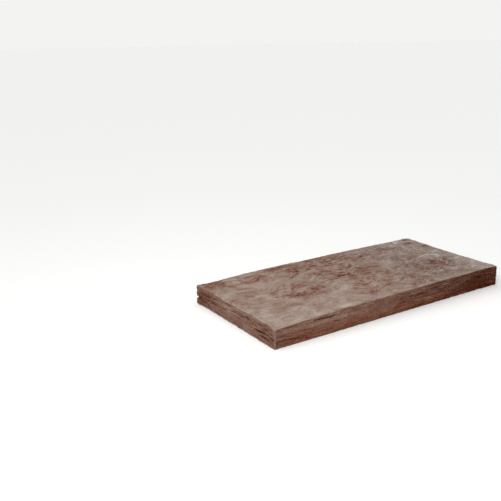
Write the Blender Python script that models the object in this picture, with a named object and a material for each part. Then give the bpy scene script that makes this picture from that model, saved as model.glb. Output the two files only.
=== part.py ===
"""Mineral wool slab: one semi-rigid insulation slab, lying flat.

The slab is a plain rectangular block cut from one felt of fibres. Its arrises are soft, its top sags
a little towards each corner, its underside is frayed away at the far left corner, and that upright
corner has a bite torn from it.
Lengths are in metres. X runs along the slab, Y across it and Z up. The origin is at the middle of
the underside, on the floor.
"""

import math
from collections import namedtuple

import bmesh
import bpy
from mathutils import Vector

# The block
LENGTH = 1.250
WIDTH = 0.600
THICKNESS = 0.090

# How round the edges are
UPRIGHT_CORNER_RADIUS = 0.005
TOP_EDGE_RADIUS = 0.003
BOTTOM_EDGE_RADIUS = 0.002

# How far the top sags at each corner, and how far the sag runs along the slab and across it
FAR_RIGHT_SAG = 0.006
FAR_RIGHT_SAG_ALONG = 0.480
FAR_RIGHT_SAG_ACROSS = 0.045
FAR_LEFT_SAG = 0.005
FAR_LEFT_SAG_ALONG = 0.250
FAR_LEFT_SAG_ACROSS = 0.050
NEAR_LEFT_SAG = 0.008
NEAR_LEFT_SAG_ALONG = 0.240
NEAR_LEFT_SAG_ACROSS = 0.035
NEAR_RIGHT_SAG = 0.004
NEAR_RIGHT_SAG_ALONG = 0.040
NEAR_RIGHT_SAG_ACROSS = 0.030

# The underside's far left corner, frayed away mostly across the end
WEAR = 0.006
WEAR_ALONG = 0.045
WEAR_ACROSS = 0.350

# The bite torn out of the far left upright corner
BITE_HEIGHT = 0.033
BITE_OPENING = 0.022
BITE_DEPTH = 0.009
BITE_REACH = 0.028

# The dull brown of glass fibres bonded with a cured resin, as linear light
WOOL_COLOUR = (0.33, 0.225, 0.175, 1.0)
WOOL_ROUGHNESS = 0.95

# How finely the skin is divided
PLAN_ARC_STEPS = 4
EDGE_ARC_STEPS = 3
RUN_STEPS = 8
INSET_STATIONS = (0.15, 0.4, 0.7, 1.0)
BITE_STATIONS = (-1.0, -0.65, -0.3, 0.0, 0.3, 0.65, 1.0)
TIGHTEST_PLAN_RADIUS = 0.004
SHARPEST_SMOOTH_ANGLE = math.radians(35)

# Something worn at a corner of the plan: the signs of the corner's x and y, how deep it is there,
# and how far it runs along the slab and across it
Worn = namedtuple("Worn", "sign_x sign_y depth along across")
SAGS = (
    Worn(1, 1, FAR_RIGHT_SAG, FAR_RIGHT_SAG_ALONG, FAR_RIGHT_SAG_ACROSS),
    Worn(-1, 1, FAR_LEFT_SAG, FAR_LEFT_SAG_ALONG, FAR_LEFT_SAG_ACROSS),
    Worn(-1, -1, NEAR_LEFT_SAG, NEAR_LEFT_SAG_ALONG, NEAR_LEFT_SAG_ACROSS),
    Worn(1, -1, NEAR_RIGHT_SAG, NEAR_RIGHT_SAG_ALONG, NEAR_RIGHT_SAG_ACROSS),
)
WEARS = (Worn(-1, 1, WEAR, WEAR_ALONG, WEAR_ACROSS),)
BITE = Worn(-1, 1, BITE_DEPTH, BITE_REACH, BITE_REACH)


def corner_point(sign_x, sign_y, inset=0.0):
    """Where two edges of the plan would meet if the corner were sharp, drawn in by the inset."""
    return Vector((sign_x * (LENGTH / 2 - inset), sign_y * (WIDTH / 2 - inset)))


def fade(share):
    """1 at a share of 0, 0 from a share of 1 on, and smooth between them."""
    left = max(0.0, 1.0 - share)
    return left * left * (3.0 - 2.0 * left)


def depth_at(point, worn):
    """How deep that wear is at the point."""
    away = point - corner_point(worn.sign_x, worn.sign_y)
    return worn.depth * fade(math.hypot(away.x / worn.along, away.y / worn.across))


def sag_at(point):
    """How far the top lies below the full thickness."""
    return sum(depth_at(point, sag) for sag in SAGS)


def wear_at(point):
    """How far the underside lies above the floor."""
    return sum(depth_at(point, wear) for wear in WEARS)


def flat_inset(worn_places):
    """How far in from the edges the last of the worn places ends."""
    return max(min(worn.along, worn.across) for worn in worn_places)


def run_to(end, start):
    """Points from the start of a run up to its end, which is left out, closest together at the start."""
    shares = [(step / RUN_STEPS) ** 2 for step in range(RUN_STEPS)]
    return [start.lerp(end, share) for share in shares]


def plan_outline(inset):
    """The plan's outline drawn in by the inset, anticlockwise from the middle of the right end.

    Each corner is an arc between two half runs.
    """
    radius = max(UPRIGHT_CORNER_RADIUS - inset, TIGHTEST_PLAN_RADIUS)
    half_length = LENGTH / 2 - inset
    half_width = WIDTH / 2 - inset
    points = []
    for sign_x, sign_y in ((1, 1), (-1, 1), (-1, -1), (1, -1)):
        centre = corner_point(sign_x, sign_y, inset + radius)
        start = math.atan2(sign_y, sign_x) - math.pi / 4
        turns = [start + step * math.pi / 2 / PLAN_ARC_STEPS for step in range(PLAN_ARC_STEPS + 1)]
        arc = [centre + radius * Vector((math.cos(turn), math.sin(turn))) for turn in turns]
        end_middle = Vector((sign_x * half_length, 0.0))
        edge_middle = Vector((0.0, sign_y * half_width))
        before, after = (end_middle, edge_middle) if sign_x == sign_y else (edge_middle, end_middle)
        points += [before] + list(reversed(run_to(before, arc[0])))
        points += arc[1:-1]
        points += run_to(after, arc[-1])
    return points


def bitten(point, station):
    """A point of the wall at that station of the bite, pushed in by the bite's depth there."""
    inwards = -corner_point(BITE.sign_x, BITE.sign_y).normalized()
    return point + inwards * depth_at(point, BITE) * fade(abs(station))


def edge_arc():
    """A quarter turn in steps: the sine and cosine at each."""
    turns = [step * math.pi / 2 / EDGE_ARC_STEPS for step in range(EDGE_ARC_STEPS + 1)]
    return [(math.sin(turn), math.cos(turn)) for turn in turns]


def underside_rings():
    """Rings of the underside, from its flat middle out to the foot of the walls."""
    flat = flat_inset(WEARS)
    rings = []
    for share in reversed(INSET_STATIONS):
        ring = plan_outline(BOTTOM_EDGE_RADIUS + share * flat)
        rings.append([(p.x, p.y, wear_at(p)) for p in ring])
    for sine, cosine in edge_arc():
        ring = plan_outline(BOTTOM_EDGE_RADIUS * (1 - sine))
        rise = BOTTOM_EDGE_RADIUS * (1 - cosine)
        rings.append([(p.x, p.y, wear_at(p) + rise) for p in ring])
    return rings


def wall_rings():
    """Rings of the upright walls, one at each station of the bite."""
    outline = plan_outline(0.0)
    rings = []
    for station in BITE_STATIONS:
        height = BITE_HEIGHT + station * BITE_OPENING / 2
        ring = [bitten(p, station) for p in outline]
        rings.append([(p.x, p.y, height) for p in ring])
    return rings


def top_rings():
    """Rings of the top, from the head of the walls in to its flat middle."""
    flat = flat_inset(SAGS)
    rings = []
    for sine, cosine in edge_arc():
        ring = plan_outline(TOP_EDGE_RADIUS * (1 - cosine))
        drop = TOP_EDGE_RADIUS * (1 - sine)
        rings.append([(p.x, p.y, THICKNESS - sag_at(p) - drop) for p in ring])
    for share in INSET_STATIONS:
        ring = plan_outline(TOP_EDGE_RADIUS + share * flat)
        rings.append([(p.x, p.y, THICKNESS - sag_at(p)) for p in ring])
    return rings


def slab_mesh():
    """The slab's closed skin: rings from the underside up to the top, and a flat face at each end."""
    mesh = bpy.data.meshes.new("wool_slab")
    bm = bmesh.new()
    outlines = underside_rings() + wall_rings() + top_rings()
    rings = [[bm.verts.new(point) for point in outline] for outline in outlines]
    for low, high in zip(rings, rings[1:]):
        for index in range(len(low)):
            after = (index + 1) % len(low)
            bm.faces.new((low[index], low[after], high[after], high[index]))
    bm.faces.new(list(reversed(rings[0])))
    bm.faces.new(rings[-1])
    bm.to_mesh(mesh)
    bm.free()
    mesh.shade_smooth()
    mesh.set_sharp_from_angle(angle=SHARPEST_SMOOTH_ANGLE)
    return mesh


def wool_material():
    """Brown glass fibres held by a cured resin: dull all over, with no shine."""
    material = bpy.data.materials.new("resin_bonded_mineral_wool")
    material.use_nodes = True
    shader = material.node_tree.nodes["Principled BSDF"]
    shader.inputs["Base Color"].default_value = WOOL_COLOUR
    shader.inputs["Roughness"].default_value = WOOL_ROUGHNESS
    shader.inputs["Metallic"].default_value = 0.0
    return material


def clear_scene():
    for thing in list(bpy.data.objects):
        bpy.data.objects.remove(thing, do_unlink=True)


def main():
    clear_scene()
    mesh = slab_mesh()
    mesh.materials.append(wool_material())
    slab = bpy.data.objects.new("wool_slab", mesh)
    bpy.context.scene.collection.objects.link(slab)


main()
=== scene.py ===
# %% [markdown]
# # A slab of mineral wool
# Mineral wool is spun glass. Molten glass is thrown out of a spinning dish as fibres a few thousandths of
# a millimetre thick, sprayed with a brown resin and laid down on a belt, thin sheet on thin sheet. An
# oven sets the resin, and saws cut the felt into slabs. So a slab has two sorts of surface. Its broad
# faces show the last sheets from above: pale fibres swept over darker ones, like marbling. Its cut edges
# show all the sheets from the side, as hundreds of thin layers with a slit here and there.
#
# This lesson dresses a plain block in that surface. The block comes packed as a fixed frame, and it is
# never moved or changed: the skin is laid over it.

# %% Load the frame
import math
from collections import namedtuple

import bpy
from mathutils import Matrix, Vector, noise
from mathutils.bvhtree import BVHTree


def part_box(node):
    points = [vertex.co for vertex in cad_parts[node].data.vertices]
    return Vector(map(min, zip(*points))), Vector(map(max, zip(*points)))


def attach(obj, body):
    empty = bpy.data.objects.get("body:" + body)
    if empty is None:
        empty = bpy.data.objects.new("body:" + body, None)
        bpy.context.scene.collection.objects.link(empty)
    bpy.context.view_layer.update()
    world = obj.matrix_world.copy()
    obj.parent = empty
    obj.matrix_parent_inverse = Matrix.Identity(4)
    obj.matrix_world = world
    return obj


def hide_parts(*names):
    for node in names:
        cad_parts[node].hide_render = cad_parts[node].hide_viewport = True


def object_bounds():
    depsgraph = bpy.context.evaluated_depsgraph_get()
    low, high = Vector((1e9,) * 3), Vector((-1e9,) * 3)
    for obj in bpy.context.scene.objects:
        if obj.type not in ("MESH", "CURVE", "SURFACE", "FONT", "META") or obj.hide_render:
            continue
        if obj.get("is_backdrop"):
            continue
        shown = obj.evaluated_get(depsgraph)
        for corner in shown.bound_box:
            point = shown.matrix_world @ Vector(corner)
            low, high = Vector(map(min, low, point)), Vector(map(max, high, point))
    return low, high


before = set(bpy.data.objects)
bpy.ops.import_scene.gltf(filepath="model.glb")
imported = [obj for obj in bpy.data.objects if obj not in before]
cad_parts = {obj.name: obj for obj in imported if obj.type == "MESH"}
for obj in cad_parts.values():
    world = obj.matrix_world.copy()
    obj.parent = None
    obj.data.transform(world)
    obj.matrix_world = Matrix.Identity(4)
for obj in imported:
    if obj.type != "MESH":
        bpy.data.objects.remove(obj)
CAD_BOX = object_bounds()
BLOCK = "wool_slab"
low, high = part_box(BLOCK)
length, width, thickness = high - low
print(f"the slab is {length:.3f} by {width:.3f} by {thickness:.3f} m")

# %% [markdown]
# ## Small tools
# Real sizes are easiest to think of in millimetres, and Blender works in metres. Colours are easiest to
# pick as sRGB hex, and Blender mixes light in linear values. One number and one function bridge both.
#
# Every material and every Geometry Nodes tree below is made of nodes, so one more function adds a node,
# sets it, joins it to what feeds it, and hands back the output that is wanted. Sockets go by name, or by
# number where a node has several of one name: a mix has its share at 0, its numbers at 2 and 3 and its
# colours at 6 and 7.

# %% Units, colours and nodes
MM = 0.001
SRGB_KNEE, SRGB_SLOPE, SRGB_OFFSET, SRGB_POWER = 0.04045, 12.92, 0.055, 2.4

MATH = "ShaderNodeMath"
VECTOR = "ShaderNodeVectorMath"
NOISE = "ShaderNodeTexNoise"
RANGE = "ShaderNodeMapRange"
MIX = "ShaderNodeMix"
RAMP = "ShaderNodeValToRGB"
AXES = "ShaderNodeSeparateXYZ"
JOINED = "ShaderNodeCombineXYZ"

SMOOTH = {"interpolation_type": "SMOOTHSTEP"}
FADING = {"To Min": 1.0, "To Max": 0.0}


def linear(hex_colour):
    """An sRGB hex colour as the linear red, green, blue and alpha that Blender mixes."""
    colour = []
    for start in (1, 3, 5):
        share = int(hex_colour[start:start + 2], 16) / 255
        curved = ((share + SRGB_OFFSET) / (1 + SRGB_OFFSET)) ** SRGB_POWER
        colour.append(share / SRGB_SLOPE if share <= SRGB_KNEE else curved)
    return colour + [1.0]


def add(tree, kind, sockets=None, output=0, stops=None, **settings):
    """Adds a node with its settings, links or values on its sockets, and colours along its ramp."""
    node = tree.nodes.new(kind)
    for setting, value in settings.items():
        setattr(node, setting, value)
    for socket, value in (sockets or {}).items():
        if isinstance(value, bpy.types.NodeSocket):
            tree.links.new(value, node.inputs[socket])
        else:
            node.inputs[socket].default_value = value
    for number, (place, hex_colour) in enumerate(stops or ()):
        elements = node.color_ramp.elements
        element = elements[number] if number < 2 else elements.new(place)
        element.position = place
        element.color = linear(hex_colour)
    return node.outputs[output] if len(node.outputs) else node


print("a mid grey of #808080 is", round(linear("#808080")[0], 3), "in linear light")

# %% [markdown]
# ## Laying a skin over the block
# The surface of wool has relief that the plain block lacks, so it needs many more points. A voxel remesh
# would spread them evenly, but here they are wanted in some places more than others: close together
# round the arrises, and closer up the cut edges than along them, because the layers are long and thin.
#
# So the skin is a box-shaped net whose lines are chosen. Each crossing starts on the block's
# bounding box. A ray goes out to it from inside the block, and the crossing is put where the ray leaves
# the block. That carries every sag, round and bite of the block over to the skin.

# %% The lines of the net
FINE_STEP = 2.0 * MM
COARSE_STEP = 5.6 * MM
LAYER_STEP = 1.6 * MM
STEP_GROWTH = 1.25


def graded(start, end, fine, coarse):
    """Places from start to end, fine steps at both ends and coarse ones between."""
    places = [start]
    step = fine
    while step < coarse:
        places.append(places[-1] + step)
        step *= STEP_GROWTH
    mirrored = [start + end - place for place in reversed(places)]
    gap = mirrored[0] - places[-1]
    count = math.ceil(gap / coarse)
    middle = [places[-1] + gap * number / count for number in range(1, count)]
    return places + middle + mirrored


lines_x = graded(low.x, high.x, FINE_STEP, COARSE_STEP)
lines_y = graded(low.y, high.y, FINE_STEP, COARSE_STEP)
lines_z = graded(low.z, high.z, LAYER_STEP, LAYER_STEP)
print(f"the net has {len(lines_x)} by {len(lines_y)} by {len(lines_z)} lines")

# %% Cast the net onto the block
RAY_INSET = 22 * MM
block_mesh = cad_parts[BLOCK].data
block_tree = BVHTree.FromPolygons(
    [vertex.co for vertex in block_mesh.vertices],
    [polygon.vertices for polygon in block_mesh.polygons],
)


def on_block(corner):
    """Where a ray from inside the block towards this point of its bounding box comes out."""
    inside = Vector(
        min(max(place, least + RAY_INSET), most - RAY_INSET)
        for place, least, most in zip(corner, low, high)
    )
    hit = block_tree.ray_cast(inside, corner - inside)[0]
    return hit or block_tree.find_nearest(corner)[0]


def side_grid(points, numbers, across, up, place):
    """The faces of one side of the net. place turns two line numbers into a crossing's three."""
    faces = []
    for a in range(across - 1):
        for b in range(up - 1):
            corners = (place(a, b), place(a + 1, b), place(a + 1, b + 1), place(a, b + 1))
            for corner in corners:
                if corner not in numbers:
                    numbers[corner] = len(points)
                    i, j, k = corner
                    points.append(on_block(Vector((lines_x[i], lines_y[j], lines_z[k]))))
            faces.append([numbers[corner] for corner in corners])
    return faces


def net_mesh():
    """The closed skin: six sides that share their crossings along the edges."""
    last_x, last_y, last_z = len(lines_x) - 1, len(lines_y) - 1, len(lines_z) - 1
    points, numbers = [], {}
    faces = side_grid(points, numbers, last_x + 1, last_y + 1, lambda a, b: (a, b, last_z))
    faces += side_grid(points, numbers, last_y + 1, last_x + 1, lambda a, b: (b, a, 0))
    faces += side_grid(points, numbers, last_x + 1, last_z + 1, lambda a, b: (a, 0, b))
    faces += side_grid(points, numbers, last_z + 1, last_x + 1, lambda a, b: (b, last_y, a))
    faces += side_grid(points, numbers, last_y + 1, last_z + 1, lambda a, b: (last_x, a, b))
    faces += side_grid(points, numbers, last_z + 1, last_y + 1, lambda a, b: (0, b, a))
    mesh = bpy.data.meshes.new("wool_net")
    mesh.from_pydata(points, [], faces)
    mesh.shade_smooth()
    return mesh


net = net_mesh()
print(f"the skin has {len(net.vertices)} points and {2 * len(net.polygons)} triangles")

# %% [markdown]
# ## Where the sheets lie bare
# On a broad face the marbling isn't even. Here and there the pale top sheet was dragged away, and the
# darker wool below shows in feathery patches. A noise pattern alone would put such patches anywhere, so
# the ones that give this slab its face are placed one by one, as soft ovals with a ragged outline. The
# broad ones come first and single marks follow. Each row gives the oval's middle, from the slab's left end
# and from its far edge, and its half length and half width, all in millimetres, then its tone, and its turn
# in degrees if it has one. A positive tone is darker than the wool around it, and a negative one is paler.

# %% The patches of the top face
Patch = namedtuple("Patch", "along across half_length half_width tone turn", defaults=(0,))


def patches(*rows):
    """A patch for each row of numbers."""
    return [Patch(*row) for row in rows]


DARK_PATCHES = patches(
    (660, 80, 150, 60, 0.75, 5), (620, 270, 130, 75, 0.75, 10), (320, 335, 110, 80, 0.60),
    (240, 85, 85, 50, 0.60, 10), (85, 270, 90, 45, 0.55, 20), (1040, 385, 120, 75, 0.75),
    (700, 480, 60, 90, 0.35), (1060, 60, 110, 35, 0.20), (430, 50, 100, 50, 0.80),
    (140, 430, 60, 40, 0.35, 40), (880, 550, 110, 40, 0.60), (555, 480, 60, 70, 0.65),
    (70, 60, 65, 50, 1.00), (900, 420, 130, 120, 0.55), (860, 60, 110, 60, 0.60),
    (1040, 240, 80, 50, 0.75), (1040, 500, 110, 60, 0.75), (860, 140, 90, 70, 0.60),
    (540, 200, 70, 45, 0.80), (590, 380, 65, 30, 0.70), (720, 315, 40, 40, 0.70), (580, 410, 60, 30, 0.60),
    (800, 430, 60, 60, 0.40), (780, 260, 70, 60, 0.35), (530, 440, 40, 40, 0.50), (370, 260, 40, 40, 0.55),
    (840, 520, 60, 50, 0.50), (220, 460, 60, 40, 0.35), (60, 15, 90, 16, 0.90), (1060, 440, 100, 60, 0.40),
    (615, 135, 45, 40, 0.75), (705, 260, 36, 24, 0.70), (715, 370, 36, 24, 0.60), (950, 250, 60, 45, 0.55),
    (1040, 280, 40, 24, 0.50), (400, 30, 50, 16, 0.40), (1070, 388, 30, 34, 0.75),
    (1200, 34, 40, 12, 1.00), (1200, 96, 30, 12, 0.60, 10), (462, 108, 22, 22, 0.50),
    (1075, 102, 36, 12, 0.50), (1245, 112, 20, 12, 0.60), (430, 110, 40, 30, 0.50),
    (600, 15, 70, 16, 1.00), (1030, 120, 60, 40, 0.50), (45, 55, 35, 18, 0.90, 70),
    (78, 72, 38, 18, 1.00, 75), (115, 118, 22, 12, 0.70, -30), (190, 32, 22, 9, 0.80, 85),
    (275, 72, 40, 26, 0.70, 60), (400, 22, 70, 18, 1.00), (325, 130, 22, 10, 0.45),
    # The patch at 391, 168, with a tone of 6, darkens the crack of the hollow fold beside it: painted
    # shade.
    (391, 168, 17, 6, 6.00, 32), (425, 150, 38, 9, 1.10, 25), (452, 112, 32, 14, 1.10, 85),
    (100, 250, 55, 22, 0.30, 20), (85, 362, 26, 8, 0.70, 15), (200, 330, 22, 7, 0.45, 55),
    (265, 325, 28, 9, 0.70, 75), (285, 360, 30, 12, 0.80, 35), (245, 362, 25, 16, 0.60),
    (325, 380, 30, 17, 0.90, -15), (343, 402, 12, 11, 0.90), (385, 362, 40, 20, 0.40, 60),
    (330, 252, 16, 10, 0.90, 25), (335, 296, 12, 8, 0.70), (580, 22, 28, 12, 0.70, 10),
    (635, 45, 35, 30, 0.40), (560, 100, 25, 16, 0.40, 60), (720, 50, 26, 9, 0.40, 60),
    (770, 90, 22, 14, 0.40, 30), (785, 145, 22, 16, 0.40, 80), (570, 210, 25, 10, 0.50, 20),
    (605, 255, 16, 9, 0.60, 30), (622, 310, 30, 15, 0.80, 80), (715, 255, 34, 14, 0.20, 10),
    (710, 330, 22, 9, 0.60, 15), (785, 372, 26, 12, 0.60, 50), (700, 445, 20, 9, 0.60, 55),
    (685, 485, 28, 11, 0.60, 42), (545, 522, 32, 18, 0.90, 10), (765, 560, 22, 8, 0.75, 55),
    (845, 112, 18, 13, 0.60, 30), (950, 22, 45, 10, 0.50), (1085, 105, 32, 14, 0.90),
    (1185, 92, 28, 13, 1.30), (1205, 35, 32, 12, 1.50), (1225, 172, 24, 11, 1.30, 50),
    (1045, 264, 30, 12, 0.85, 10), (950, 300, 34, 9, 1.00, 52), (922, 345, 30, 9, 1.00, 58),
    (985, 420, 28, 11, 1.00, 70), (1075, 360, 26, 11, 0.70, 65), (1090, 405, 32, 26, 0.40),
    (1140, 370, 34, 26, 0.20), (862, 557, 24, 12, 0.70, 40),
)
PALE_PATCHES = patches(
    (1215, 480, 45, 110, -0.90), (1110, 70, 60, 50, -0.30), (280, 578, 150, 18, -0.70),
    (1112, 434, 26, 34, -1.10), (775, 470, 44, 36, -0.80), (690, 215, 42, 18, -0.70),
    (490, 410, 50, 36, -0.60), (95, 150, 18, 12, -0.60), (50, 185, 25, 10, -0.60),
    (60, 440, 24, 14, -0.60), (105, 565, 26, 18, -0.60), (320, 330, 20, 14, -0.70),
    (145, 500, 30, 6, -0.60, 80), (220, 500, 14, 18, -0.50), (530, 320, 22, 10, -0.80, 80),
    (355, 160, 20, 12, -0.60), (520, 165, 24, 16, -0.60), (690, 45, 25, 10, -0.60, 80),
    (730, 375, 22, 8, -0.80, 10), (895, 330, 18, 10, -0.70, 100), (1120, 285, 26, 14, -1.20),
    (1180, 140, 24, 9, -0.70, 30), (1210, 405, 24, 8, -1.00, 25), (1225, 490, 20, 7, -0.90, 35),
    (980, 500, 20, 6, -1.00, 40), (1060, 503, 24, 6, -1.00, 50), (400, 580, 80, 12, -0.60),
    (1150, 42, 18, 7, -3.00, 55), (1150, 328, 22, 6, -2.50, 45), (1195, 270, 26, 8, -0.80, 20),
)
print(f"{len(DARK_PATCHES)} dark and {len(PALE_PATCHES)} pale patches")

# %% How dark each point of a broad face is
RAGGED = ((34.0, 9.0), (13.0, 4.0))
RAGGED_SEED = 5
MARK_LIMIT = 3.2
PATCH_EDGE = 3.0
PATCH_SPAN = 2.0
STREAK_LENGTH, STREAK_WIDTH = 55.0, 11.0
STREAK_SHARE = 0.9

# Without a seed, a vector of noise depends on the clock, and the patches' outlines would too.
noise.seed_set(RAGGED_SEED)


def ragged(place):
    """A place in millimetres, shifted by noise. Each pair is how wide the noise is and how far it goes."""
    shifted = place.copy()
    for size, reach in RAGGED:
        shifted += noise.noise_vector((place / size).to_3d()).to_2d() * reach
    return shifted


def patch_tone(place, patch):
    """The patch's tone at a place: full in its middle, streaked along its length, and soft at its edge."""
    away = place - Vector((patch.along, patch.across))
    away.rotate(Matrix.Rotation(math.radians(patch.turn), 2))
    reach = math.hypot(away.x / patch.half_length, away.y / patch.half_width)
    streak = noise.noise(Vector((away.x / STREAK_LENGTH, away.y / STREAK_WIDTH, patch.along)))
    return patch.tone * (1.0 + STREAK_SHARE * streak) * math.exp(-reach ** PATCH_EDGE)


def summed(chosen, place):
    """The sum of the chosen patches at a place in millimetres, eased off towards a limit."""
    place = ragged(place)
    total = 0.0
    for patch in chosen:
        away = (place - Vector((patch.along, patch.across))).length
        if away < PATCH_SPAN * (patch.half_length + patch.half_width):
            total += patch_tone(place, patch)
    return MARK_LIMIT * math.tanh(total / MARK_LIMIT)


def on_top(point):
    """A point's place on the top face, in millimetres from the left end and from the far edge."""
    return Vector((point.x - low.x, high.y - point.y)) / MM


def store(mesh, name, values):
    """Keeps one number for each point of the mesh, for the nodes to read."""
    layer = mesh.attributes.new(name, "FLOAT", "POINT")
    layer.data.foreach_set("value", values)


marks = DARK_PATCHES + PALE_PATCHES
tones = [summed(marks, on_top(v.co)) if v.co.z > thickness / 2 else 0.0 for v in net.vertices]
store(net, "tone", tones)
print(f"the tone runs from {min(tones):.2f} to {max(tones):.2f}")

# %% Where brown wisps lie
PLAIN_WISPS = 0.25
WISPY_PATCHES = patches(
    (620, 90, 200, 75, 0.65, 5), (620, 270, 170, 80, 0.65, 10), (320, 335, 130, 90, 0.50),
    (85, 260, 110, 60, 0.35, 20), (700, 480, 90, 90, 0.50), (60, 70, 80, 60, 0.40),
    (1050, 400, 130, 90, 0.45), (230, 85, 110, 60, 0.45), (100, 540, 120, 60, -0.20),
)


def wisp_share(point):
    """How thick the brown wisps lie at a point: from 0, none, to 1, thickest."""
    if point.z < thickness / 2:
        return PLAIN_WISPS
    return min(max(PLAIN_WISPS + summed(WISPY_PATCHES, on_top(point)), 0.0), 1.0)


wisp_shares = [wisp_share(vertex.co) for vertex in net.vertices]
store(net, "wispy", wisp_shares)
print(f"the wisps' share runs from {min(wisp_shares):.2f} to {max(wisp_shares):.2f}")

# %% [markdown]
# ## Slits, patches and tears in the cut edges
# Where the sheets bond badly they part, and the edge shows a dark slit between two layers. A saw pulls
# them wider. The slits that catch the eye are placed along lines that run with the layers, and
# Geometry Nodes adds many small ones later. The edges have darker and paler patches too, where more or
# less resin was sprayed, and a few dark patches low on the near edge are painted shade along its foot.
# The saw tore notches into the foot of the left end and of the near edge. All of them are measured
# along their edge and up from the underside, in millimetres.

# %% The slits
Slit = namedtuple("Slit", "places half_height depth")
EDGE_SLITS = {
    "near": (
        Slit(((10, 75), (53, 78), (95, 77)), 1.6, 0.5),
        Slit(((190, 75), (240, 73), (285, 71)), 1.8, 0.9),
        Slit(((292, 49), (308, 47)), 2.0, 0.8),
        Slit(((578, 92), (606, 88)), 2.0, 0.7),
        Slit(((115, 87), (160, 81)), 1.5, 0.5),
        Slit(((12, 31), (81, 26), (160, 10)), 2.2, 0.5),
        Slit(((700, 62), (735, 60), (790, 61)), 1.6, 0.6),
        Slit(((905, 38), (960, 37)), 1.6, 0.6),
        Slit(((1040, 68), (1085, 66)), 1.6, 0.5),
    ),
    "left": (
        Slit(((-3, 36), (44, 43), (85, 45), (106, 41)), 2.0, 0.9),
        Slit(((102, 42), (116, 40)), 4.0, 1.0),
        Slit(((40, 24), (98, 26)), 1.8, 0.6),
        Slit(((222, 61), (259, 62), (330, 57)), 1.8, 0.7),
        Slit(((318, 77), (386, 79)), 1.6, 0.6),
        Slit(((186, 68), (196, 68)), 2.6, 0.9),
        Slit(((487, 61), (578, 57)), 1.8, 0.8),
        Slit(((221, 71), (313, 71), (443, 70), (575, 66)), 1.4, 0.4),
        Slit(((134, 40), (283, 45), (403, 46), (577, 42)), 1.4, 0.4),
    ),
}
print({edge: len(found) for edge, found in EDGE_SLITS.items()}, "slits")

# %% The patches and the tears
EDGE_PATCHES = {
    # The dark patches low on the near edge, at 690, 1040, 1060 and 1170 along it, are painted shade along
    # the foot.
    "near": patches(
        (130, 72, 150, 20, -0.35), (420, 58, 150, 18, -0.15), (60, 20, 70, 14, 0.35),
        (705, 52, 90, 20, 0.20), (870, 56, 60, 14, 0.30), (1040, 20, 90, 18, 0.70),
        (1150, 45, 60, 25, 0.30), (990, 74, 90, 12, -0.90), (1215, 50, 18, 40, -0.30),
        (750, 30, 140, 10, -0.60), (1170, 12, 80, 9, 0.50), (60, 65, 70, 12, 0.35),
        (310, 58, 70, 24, -0.45), (190, 10, 80, 10, -0.70), (60, 10, 60, 8, -0.30), (690, 10, 70, 9, 0.40),
        (1060, 20, 60, 14, 0.40),
    ),
    "left": patches(
        (50, 50, 60, 40, 0.60), (560, 22, 70, 26, 1.30), (520, 52, 50, 16, 0.25), (50, 30, 55, 9, 0.50),
        (300, 72, 120, 20, -0.40), (260, 30, 120, 22, -0.25), (430, 44, 60, 18, 0.20),
        (350, 60, 50, 34, -0.60), (190, 74, 90, 16, 0.35), (550, 50, 44, 12, 0.60),
        (150, 50, 60, 12, 0.35),
    ),
}
Tear = namedtuple("Tear", "start end height peak")
EDGE_TEARS = {
    "near": (Tear(405, 440, 4, 0.3), Tear(640, 700, 3, 0.5), Tear(840, 875, 3, 0.3)),
    "left": (
        Tear(110, 176, 4, 0.3), Tear(176, 214, 7, 0.4), Tear(214, 262, 9, 0.3), Tear(262, 340, 8, 0.25),
        Tear(340, 372, 6, 0.3), Tear(372, 430, 5, 0.3), Tear(430, 470, 3, 0.4),
    ),
}
print({edge: len(found) for edge, found in EDGE_TEARS.items()}, "tears")

# %% How deep each point of an edge is slit, and how dark it is
EDGE_SKIN = 6.0
SLIT_TAPER = 3.0
WOBBLE_SIZE, WOBBLE_REACH = 40.0, 2.0


def ways_from(places, place):
    """The way to a place from the nearest point of each stretch between these places."""
    for start, end in zip(places, places[1:]):
        first, run = Vector(start), Vector(end) - Vector(start)
        share = min(max((place - first).dot(run) / run.length_squared, 0.0), 1.0)
        yield place - first - share * run


def slit_depth(place, slit):
    """How deep the slit is at a place of its edge, from 0 beside it to its depth along its middle."""
    half = slit.half_height
    ways = ways_from(slit.places, place)
    reaches = (math.hypot(way.x / (SLIT_TAPER * half), way.y / half) for way in ways)
    return slit.depth * math.exp(-min(reaches) ** 2)


def on_edge(point):
    """The edge that a point lies on, near or left, and its place along it and up it in millimetres."""
    near, left = (point.y - low.y) / MM, (point.x - low.x) / MM
    if near < EDGE_SKIN and near <= left:
        return "near", Vector((left, point.z / MM))
    if left < EDGE_SKIN:
        return "left", Vector((near, point.z / MM))
    return None, None


def edge_values(point):
    """The deepest slit and the sum of the patches at a point of the skin."""
    edge, place = on_edge(point)
    if not edge:
        return 0.0, 0.0
    wobble = WOBBLE_REACH * noise.noise((place / WOBBLE_SIZE).to_3d())
    wavering = Vector((place.x, place.y + wobble))
    deepest = max(slit_depth(wavering, slit) for slit in EDGE_SLITS[edge])
    return deepest, summed(EDGE_PATCHES[edge], place)


slit_values, stain_and_shade_values = zip(*[edge_values(vertex.co) for vertex in net.vertices])
store(net, "slit", slit_values)
store(net, "stain", stain_and_shade_values)
print(f"the deepest slit opens to {max(slit_values):.2f} of a full slit")

# %% How high each point of the foot is torn
TEAR_REACH = 50.0


def tear_height(along, inwards, tears):
    """How high the foot is torn at a place along an edge. Each tear rises to its peak and falls again."""
    highest = 0.0
    for tear in tears:
        share = (along - tear.start) / (tear.end - tear.start)
        highest = max(highest, tear.height * min(share / tear.peak, (1.0 - share) / (1.0 - tear.peak)))
    return highest * max(1.0 - inwards / TEAR_REACH, 0.0)


def torn_at(point):
    """How high the foot is torn at a point of the skin, in metres."""
    near, left = (point.y - low.y) / MM, (point.x - low.x) / MM
    on_near = tear_height(left, near, EDGE_TEARS["near"])
    return MM * max(on_near, tear_height(near, left, EDGE_TEARS["left"]))


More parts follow.
